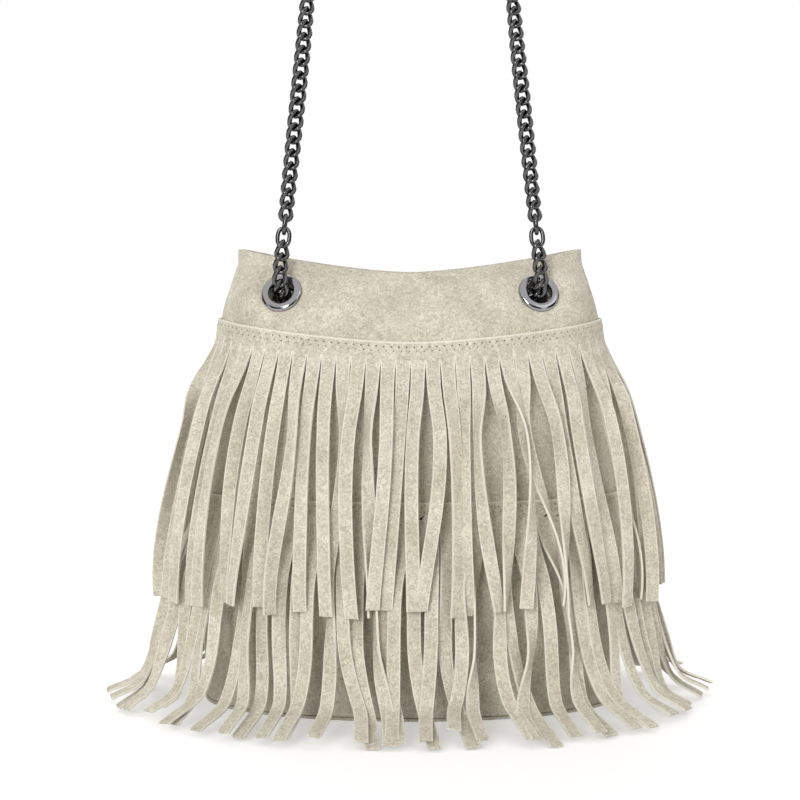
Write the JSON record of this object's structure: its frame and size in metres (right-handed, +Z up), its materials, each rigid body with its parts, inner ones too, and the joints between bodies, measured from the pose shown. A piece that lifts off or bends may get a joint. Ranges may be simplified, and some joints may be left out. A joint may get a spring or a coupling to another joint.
{
  "type": "fringed suede bag",
  "caption": "Bucket-shaped suede bag with layered cut fringes, eyelets at the mouth and a curb chain strap.",
  "frame": {"origin": "middle of the base's underside, on the surface that the bag stands on", "axes": "+Z up, +X along the bag's width, -Y out of the front, where the strap rises"},
  "size_m": [0.3319, 0.2382, 0.4383],
  "materials": {
    "suede": "napped suede",
    "lining": "plain weave",
    "board": "matt",
    "eyelet_metal": "polished gunmetal",
    "chain_metal": "dark gunmetal plating"
  },
  "bodies": {
    "bag": {"band_front": "suede", "band_back": "suede", "body_front": "suede", "body_back": "suede", "base_panel": "suede", "base_board": "board", "lining": "lining", "fringe_upper_front": "suede", "fringe_upper_back": "suede", "fringe_lower_front": "suede", "fringe_lower_back": "suede", "eyelet_front_left": "eyelet_metal", "eyelet_front_right": "eyelet_metal", "eyelet_back_left": "eyelet_metal", "eyelet_back_right": "eyelet_metal", "washer_front_left": "eyelet_metal", "washer_front_right": "eyelet_metal", "washer_back_left": "eyelet_metal", "washer_back_right": "eyelet_metal", "chain_left": "chain_metal", "chain_right": "chain_metal", "chain_back": "chain_metal"},
    "strap": {"strap_left": "chain_metal", "strap_right": "chain_metal"},
    "strap_top": {"strap_top": "chain_metal"}
  },
  "joints": [
    {"name": "strap_lean", "type": "hinge", "parent": "bag", "child": "strap", "pos_m": [0, -0.03589, 0.26003], "axis": [1, 0, 0], "range_deg": [-80, 80]},
    {"name": "strap_fold", "type": "hinge", "parent": "strap", "child": "strap_top", "pos_m": [0, -0.01685, 0.39864], "axis": [1, 0, 0], "range_deg": [-80, 80]}
  ]
}
